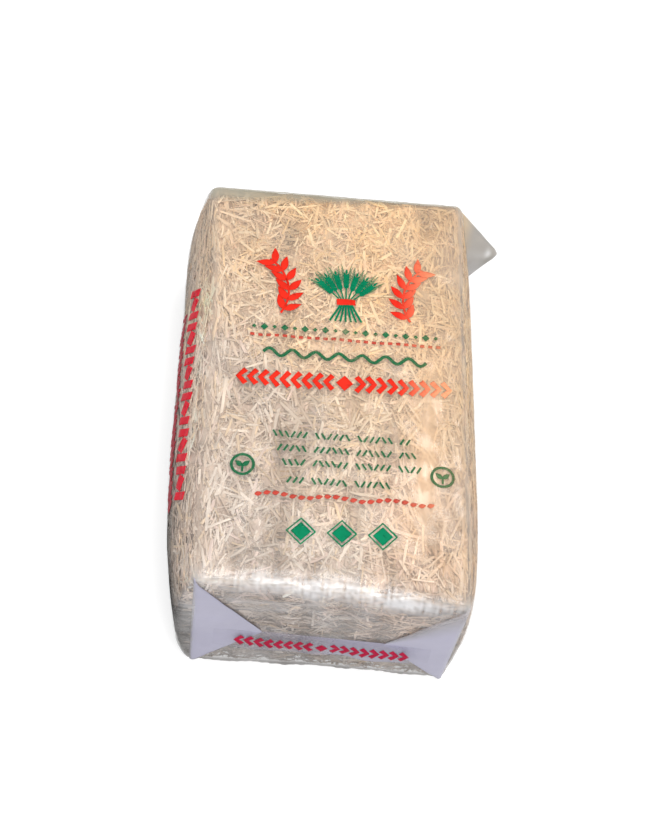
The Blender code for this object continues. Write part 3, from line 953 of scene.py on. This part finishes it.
def ear_colour(u, v, ear):
    """Its tones are those of its root, its middle, its lower part, the painted glint near its tip, which
    also lights a painted ridge, and the painted shade under that; u runs from its root to its tip and v up
    it."""
    root, middle, low, tip, under = ear.tones
    ridge = bell(v, 0.56, 0.12) * ramp(0.1, 0.5, u) * ramp(0.9, 0.75, u)
    colour = np.tile(root, (len(u), 1))
    for tone, share in (
        (middle, ramp(0.12, 0.48, u)),
        (low, ramp(0.60, 0.15, v) * ramp(0.15, 0.4, u)),
        (under, 0.75 * bell(u, 0.84, 0.13) * bell(v, 0.22, 0.26)),
        (tip, 0.25 * ridge),
        (tip, bell(u, 0.80, 0.055) * bell(v, 0.62, 0.16)),
    ):
        colour = blend(colour, tone, share)
    # A blurred hem is painted lighter, over the shade seen through it.
    if ear.hem:
        colour = blend(colour, ear.hem, ramp(ear.soft, 0.0, 1 - v))
    return colour * (0.92 + 0.08 * ramp(-0.02, 0.03, np.minimum(v, 1 - v)))[:, None]


def add_ear(name, corner, across, facing, ear, material):
    """A flap of doubled film: a triangle that runs from the bag's corner to a blunt tip."""
    s, v = sheet_shares(*EAR_GRID)
    u = 1 - (1 - s) ** 1.6
    lowest, highest = EAR_LOWEST, BAG_HEIGHT - (FILM_ROUNDING * 0.5 if ear.folded else 0.0)
    rounded = np.clip(1 - (1 - u) * ear.reach / (ear.blunt * 0.6), 0, 1)
    half_tall = ((highest - lowest) / 2 * (1 - u) + ear.blunt / 2 * u) * np.sqrt(1 - rounded ** 2)
    flat = corner + np.outer(u * ear.reach, across)
    flat[:, 2] = (lowest + highest) / 2 * (1 - u) + SEAL_HEIGHT * u + half_tall * (2 * v - 1)
    fade = np.sin(np.pi * u) ** 0.5
    drape = ear.flutter * fade * (wave_field(31, 0.085)(flat) + 0.35 * wave_field(32, 0.030)(flat))
    swell = ear.puff * np.sin(np.pi * v) ** 0.7 * np.cos(np.pi / 2 * rounded) * (1 - 0.55 * u)
    if ear.folded:
        for beyond, rounding in (
            (EAR_EDGE_AT - u * ear.reach, FILM_ROUNDING),
            (flat[:, 2] - (BAG_HEIGHT - EAR_ROUNDING), EAR_ROUNDING),
        ):
            beyond = np.clip(beyond, 0, 0.95 * rounding)
            drape -= rounding - np.sqrt(rounding ** 2 - beyond ** 2)
    half_gap = swell / 2 + EAR_HALF_GAP
    front, back = flat + np.outer(drape + half_gap, facing), flat + np.outer(drape - half_gap, facing)
    haze = HAZE_MOST * (ear.least + (1 - ear.least) * ramp(0.0, ear.soft, 1 - v))
    doubled_film(name, front, back, EAR_GRID, ear_colour(u, v, ear), haze, material)


def add_ears(material):
    """Three ears lie folded in on the end faces, and the far right one stands out."""
    for name, side, end, flare, ear in (
        ("near_left_ear", -1, -1, 0.0, FOLDED_EAR),
        ("near_right_ear", 1, -1, 0.0, BLURRED_EAR),
        ("far_left_ear", -1, 1, FLARE_LEFT, FOLDED_EAR),
    ):
        corner = np.array((side * (HALF[0] - EAR_INSET + flare), end * (HALF[1] + EAR_STAND_OFF), 0.0))
        add_ear(name, corner, (-side, 0, 0), (0, end, 0), ear, material)
    inward, back = STANDING_EAR_INSET
    corner = np.array((HALF[0] - inward + FLARE_RIGHT, HALF[1] - back, 0.0))
    across = (math.cos(EAR_LEAN), math.sin(EAR_LEAN), 0)
    facing = (math.sin(EAR_LEAN), -math.cos(EAR_LEAN), 0)
    add_ear("far_right_ear", corner, across, facing, STANDING_EAR, material)


FIN_GRID = (110, 22)


def add_fin(name, end, material):
    """The sealed strip that hangs down over the end face from its welded seam."""
    u, v = sheet_shares(*FIN_GRID)
    x = (2 * u - 1) * FIN_HALF_WIDTH
    place = np.stack((x, np.zeros_like(x), v * 0.03), axis=1)
    drop = FIN_DROP * (1 + 0.03 * wave_field(41, 0.09)(place))
    weld = WELD_HEIGHT * np.cos(v * 2 * math.pi * WELD_RIBS) * (v < WELD_SHARE)
    swing = 0.0030 * ramp(0.0, 0.9, v) + 0.0022 * v * (1 + wave_field(42, 0.055)(place))
    out = FIN_STAND_OFF * ramp(0, 0.08, v) + swing + weld + 0.0006
    middle = np.stack((x, end * (HALF[1] + out), SEAL_HEIGHT - v * drop), axis=1)
    half = np.array((0, end * FIN_HALF_THICK, 0))
    inner = ramp(0.95, 0.6, np.abs(2 * u - 1))
    haze = 0.03 + inner * (0.12 + 0.30 * ramp(0.35, 0.65, u))
    colour = np.tile(MILKY, (len(u), 1))
    return doubled_film(name, middle + half, middle - half, FIN_GRID, colour, haze, material)


# ---- Print: flat outlines in two of the axes ----


def headings(heading):
    """Unit vectors ahead and to the left."""
    ahead = Vector((math.cos(heading), math.sin(heading)))
    return ahead, Vector((-ahead.y, ahead.x))


def leaf(x, y, heading, length, width):
    """A pointed leaf or grain that starts at x, y."""
    base, (ahead, aside) = Vector((x, y)), headings(heading)
    swell = [(n / 6, width / 2 * math.sin(math.pi * (n / 6) ** 0.8)) for n in range(1, 6)]
    left, right = ([base + ahead * length * s + aside * side * w for s, w in swell] for side in (1, -1))
    return [base] + left + [base + ahead * length] + right[::-1]


def stripe(points, width):
    """A band of even width along a row of points."""
    points = [Vector(p) for p in points]
    edges = []
    for n, point in enumerate(points):
        run = points[min(n + 1, len(points) - 1)] - points[max(n - 1, 0)]
        aside = Vector((-run.y, run.x)).normalized() * width / 2
        edges.append((point + aside, point - aside))
    return [[a, b, d, c] for (a, b), (c, d) in zip(edges, edges[1:])]


def disc(x, y, radius, sides=20):
    turns = [2 * math.pi * n / sides for n in range(sides)]
    return [Vector((x + radius * math.cos(a), y + radius * math.sin(a))) for a in turns]


def diamond(x, y, radius):
    return disc(x, y, radius, 4)


def ring(x, y, radius, width, sides=28):
    """The outline of a disc."""
    circle = disc(x, y, radius, sides)
    return stripe(circle + circle[:2], width)[:-1]


def barley_ear(x, y, heading, stalk, pairs, grain):
    """A stalk with pairs of grains up it, and awns beyond them."""
    base, (ahead, aside) = Vector((x, y)), headings(heading)
    top = base + ahead * (stalk + pairs * grain * 0.62)
    shapes = stripe([base, top], grain * 0.24)
    for n in range(pairs):
        foot = base + ahead * (stalk + n * grain * 0.62)
        for side in (-1, 1):
            shapes.append(leaf(*foot, heading + side * 0.48, grain, grain * 0.44))
            awn = foot + ahead * grain * 0.8 + aside * side * grain * 0.35
            shapes += stripe([awn, awn + ahead * grain * 1.7 + aside * side * grain * 0.5], grain * 0.09)
    shapes.append(leaf(*top, heading, grain * 1.1, grain * 0.42))
    return shapes


def spray(x, y, side, radius, leaves, size):
    """A curved twig with leaves on both sides."""
    start, sweep = -0.55, 1.5

    def along(turn):
        return x + side * radius * (1 - math.cos(turn)), y + radius * math.sin(turn)

    shapes = stripe([along(start + sweep * n / 14) for n in range(15)], size * 0.12)
    for n in range(leaves):
        turn = start + sweep * (n + 0.4) / leaves
        tangent = math.atan2(math.cos(turn), side * math.sin(turn))
        for lean in (-0.75, 0.75):
            shapes.append(leaf(*along(turn), tangent + lean, size, size * 0.40))
    return shapes


def chevrons(middle, level, count, first, pitch, wide, tall, width):
    """Bent bars in a row, on both sides of its middle and pointing away from it."""
    shapes = []
    for n in range(count):
        for side in (1, -1):
            x = middle + side * (first + n * pitch)
            back, tip = x - side * wide / 2, x + side * wide / 2
            shapes += stripe([(back, level - tall / 2), (tip, level), (back, level + tall / 2)], width)
    return shapes


def top_print():
    """The generic print on the upper face, as outlines in x and y: green shapes, faint green ones, red
    ones and faint red ones."""
    green, faint, red, faint_red = [], [], [], []
    middle = 0.010
    # a sheaf with its band, between two sprays
    for k in range(-3, 4):
        lean, stalk = math.pi / 2 - 0.27 * k, 0.020 - 0.002 * abs(k)
        green += barley_ear(middle + 0.004 * k, 0.150, lean, stalk, 5, 0.0095)
        green += stripe([(middle + 0.003 * k, 0.138), (middle + 0.0085 * k, 0.106)], 0.0032)
    red += stripe([(middle - 0.015, 0.144), (middle + 0.015, 0.144)], 0.011)
    for side in (-1, 1):
        red += spray(middle + 0.092 * side, 0.155, side, 0.078, 6, 0.031)
    # diamonds, dashes and a wave
    for n in range(19):
        faint.append(diamond(-0.134 + n * 0.016, 0.086, 0.0062 if n % 2 else 0.0038))
    for n in range(24):
        faint_red += stripe([(-0.140 + n * 0.0128, 0.070), (-0.133 + n * 0.0128, 0.070)], 0.0050)
    wave = [(-0.118 + 0.256 * n / 80, 0.038 + 0.0065 * math.sin(n * 0.55)) for n in range(81)]
    faint += stripe(wave, 0.0055)
    # chevrons on both sides of a diamond
    red += chevrons(middle, -0.010, 9, 0.024, 0.0168, 0.011, 0.026, 0.0088)
    red.append(diamond(middle, -0.010, 0.0135))
    # rows of slanted ticks, with a ringed sprout on either side
    for row, (y, ticks) in enumerate(((-0.108, 23), (-0.132, 23), (-0.156, 23), (-0.186, 18))):
        for n in range(ticks):
            x = -0.094 + 0.0092 * n + 0.008 * row
            lean = 0.0030 if (n // 3 + row) % 2 else -0.0030
            if (n + row) % 7 < 6:
                faint += stripe([(x - lean, y - 0.0052), (x + lean, y + 0.0052)], 0.0031)
    for x in (middle - 0.150, middle + 0.150):
        faint += ring(x, -0.165, 0.0165, 0.0042)
        faint += stripe([(x, -0.177), (x, -0.164)], 0.0032)
        for heading in (0.70, math.pi - 0.70):
            faint.append(leaf(x, -0.168, heading, 0.0145, 0.0080))
    # a row of grains, and three framed diamonds
    for n in range(21):
        faint_red.append(leaf(-0.120 + n * 0.0128, -0.214 + 0.003 * math.sin(n * 0.9), 0.25, 0.0120, 0.0075))
    for x in (middle - 0.060, middle, middle + 0.060):
        green.append(diamond(x, -0.270, 0.0150))
        green += ring(x, -0.270, 0.0210, 0.0028, 4)
    return green, faint, red, faint_red


def side_print():
    """The print along the left side, as outlines in y and z: a bold row and a dull row."""
    bold, dull = [], []
    for n in range(18):
        y = -0.195 + n * 0.0220
        if n % 3 == 1:
            bold.append(diamond(y, 0.220, 0.0150))
        else:
            bold += stripe([(y + 0.0075, 0.2035), (y - 0.0075, 0.2360)], 0.0125)
    for n in range(15):
        y = -0.188 + n * 0.0240
        dull.append(diamond(y, 0.174, 0.0145))
        dull += stripe([(y + 0.0165, 0.159), (y + 0.0075, 0.189)], 0.0065)
    return bold, dull


def end_print():
    """The row on the near fin, as outlines in x and z."""
    return [diamond(0.0, 0.095, 0.0095)] + chevrons(0.0, 0.096, 8, 0.020, 0.0150, 0.0095, 0.0190, 0.0085)


# The axes that a print is laid out in, and the way that it is dropped on to its piece.
ON_TOP = ((0, 1), (0, 0, -1))
ON_SIDE = ((1, 2), (1, 0, 0))
ON_END = ((0, 2), (0, 1, 0))


def add_print(name, shapes, layout, target, material, slot):
    """Lays flat outlines on a piece: cuts them small, drops them on to it and gives them thickness."""
    bm = bmesh.new()
    for shape in shapes:
        bm.faces.new([bm.verts.new((*p, 0.0)) for p in shape])
    for axis in (0, 1):
        places = [v.co[axis] for v in bm.verts]
        for n in range(math.ceil(min(places) / INK_CELL), math.floor(max(places) / INK_CELL) + 1):
            normal = Vector((axis == 0, axis == 1, 0))
            everything = bm.verts[:] + bm.edges[:] + bm.faces[:]
            cut = normal * (n * INK_CELL + 0.0001)
            bmesh.ops.bisect_plane(bm, geom=everything, plane_co=cut, plane_no=normal)
    bmesh.ops.triangulate(bm, faces=[f for f in bm.faces if len(f.verts) > 4])
    tree = BVHTree.FromObject(target, bpy.context.evaluated_depsgraph_get())
    axes, towards = layout[0], Vector(layout[1])
    for vert in bm.verts:
        place = Vector((0, 0, 0))
        place[axes[0]], place[axes[1]] = vert.co.xy
        hit, normal = tree.ray_cast(place - towards * 2.0, towards)[:2]
        vert.co = hit + normal * (INK_LIFT if normal.dot(towards) < 0 else -INK_LIFT)
    bmesh.ops.recalc_face_normals(bm, faces=bm.faces)
    mesh = bpy.data.meshes.new(name)
    bm.to_mesh(mesh)
    bm.free()
    facing = sum((Vector(p.normal) for p in mesh.polygons), Vector())
    if facing.dot(towards) > 0:
        mesh.flip_normals()
    ink = add_piece(name, mesh, material, slot).modifiers.new("ink", "SOLIDIFY")
    ink.thickness, ink.offset = INK_THICK, 1.0


# ---- Stage ----


def seen_rays(nodes):
    """1 for the rays that show the background: straight to the camera, reflected, or through glass."""
    rays = nodes.add("ShaderNodeLightPath")
    reflected_or_through = nodes.math("MAXIMUM", rays["Is Glossy Ray"], rays["Is Transmission Ray"])
    return nodes.math("MAXIMUM", rays["Is Camera Ray"], reflected_or_through)


def add_floor():
    corners = np.array(((-1, -1, 0), (1, -1, 0), (1, 1, 0), (-1, 1, 0))) * FLOOR_HALF
    floor = add_object("floor", quad_mesh("floor", corners, np.arange(4)[None]))
    nodes = new_material("floor", Base_Color=FLOOR_GREY, Roughness=0.9, Emission_Color=WHITE)
    nodes.link(nodes.math("MULTIPLY", seen_rays(nodes), FLOOR_LIFT), "Emission Strength")
    floor.data.materials.append(nodes.owner)


def add_world():
    """A soft fill light on the bale, and a white background."""
    world = bpy.data.worlds.new("studio")
    bpy.context.scene.world = world
    nodes = Nodes(world)
    nodes.tree.nodes.clear()
    fill = nodes.add("ShaderNodeBackground", {"Color": FILL_COLOUR, "Strength": FILL_STRENGTH})[0]
    white = nodes.add("ShaderNodeBackground", {"Color": WHITE, "Strength": 1.0})[0]
    mix = nodes.add("ShaderNodeMixShader", {"Fac": seen_rays(nodes), 1: fill, 2: white})[0]
    nodes.add("ShaderNodeOutputWorld", {"Surface": mix})


def add_lamp(name, direction, distance, size, power, colour):
    lamp = bpy.data.lights.new(name, "AREA")
    lamp.shape = "RECTANGLE"
    lamp.size, lamp.size_y = size
    lamp.energy = power
    lamp.color = colour
    obj = add_object(name, lamp)
    direction = Vector(direction).normalized()
    obj.location = Vector((0, 0, BAG_HEIGHT / 2)) + direction * distance
    obj.rotation_euler = direction.to_track_quat("Z", "Y").to_euler()


def add_camera():
    """From high up, a little to the left of the near end, and rolled."""
    elevation, azimuth, roll = (math.radians(angle) for angle in CAMERA_ANGLES)
    turned = Matrix.Rotation(azimuth, 4, "Z") @ Matrix.Rotation(math.pi / 2 - elevation, 4, "X")
    place = turned @ Matrix.Rotation(roll, 4, "Z")
    data = bpy.data.cameras.new("camera")
    data.lens = CAMERA_LENS
    data.clip_end = 50
    camera = add_object("camera", data)
    back = place.col[2].xyz
    camera.matrix_world = Matrix.Translation(Vector(CAMERA_TARGET) + back * CAMERA_DISTANCE) @ place
    bpy.context.scene.camera = camera


add_straw()
film = add_film()
milky = film_material("milky_film", roughness=0.34, clouding=0.04, ior=1.5)
add_ears(milky)
near_fin = add_fin("near_fin", -1, milky)
add_fin("far_fin", 1, milky)

green, faint, red, faint_red = top_print()
bold, dull = side_print()
for name, shapes, layout, target, slot, ink in (
    ("top_green", green, ON_TOP, film, "green_ink", ("green_ink", (0.0, 0.20, 0.09), 1.0, 0.14)),
    ("top_faint", faint, ON_TOP, film, "green_ink", ("faint_green_ink", (0.01, 0.17, 0.07), 0.72, 0.11)),
    ("top_red", red, ON_TOP, film, "red_ink", ("red_ink", (0.75, 0.026, 0.012), 1.0, 0.75)),
    ("top_faint_red", faint_red, ON_TOP, film, "red_ink", ("faint_red_ink", (0.60, 0.07, 0.048), 0.72, 0.50)),
    ("side_bold", bold, ON_SIDE, film, "red_ink", ("bright_crimson_ink", (0.88, 0.014, 0.040), 1.0, 0.0)),
    ("side_dull", dull, ON_SIDE, film, "red_ink", ("dull_crimson_ink", (0.44, 0.010, 0.030), 1.0, 0.0)),
    ("end_row", end_print(), ON_END, near_fin, "red_ink", ("crimson_ink", (0.47, 0.013, 0.055), 1.0, 0.0)),
):
    add_print(name, shapes, layout, target, ink_material(*ink), slot)

add_floor()
add_world()
add_lamp("top", (0.12, 0.10, 1.0), distance=3.0, size=(1.8, 1.8), power=63, colour=(1.0, 0.98, 0.94))
add_lamp("front", (0.05, -0.70, 0.75), distance=2.4, size=(1.6, 1.2), power=33, colour=(1.0, 0.98, 0.97))
add_camera()
bpy.context.scene.view_settings.view_transform = "Standard"
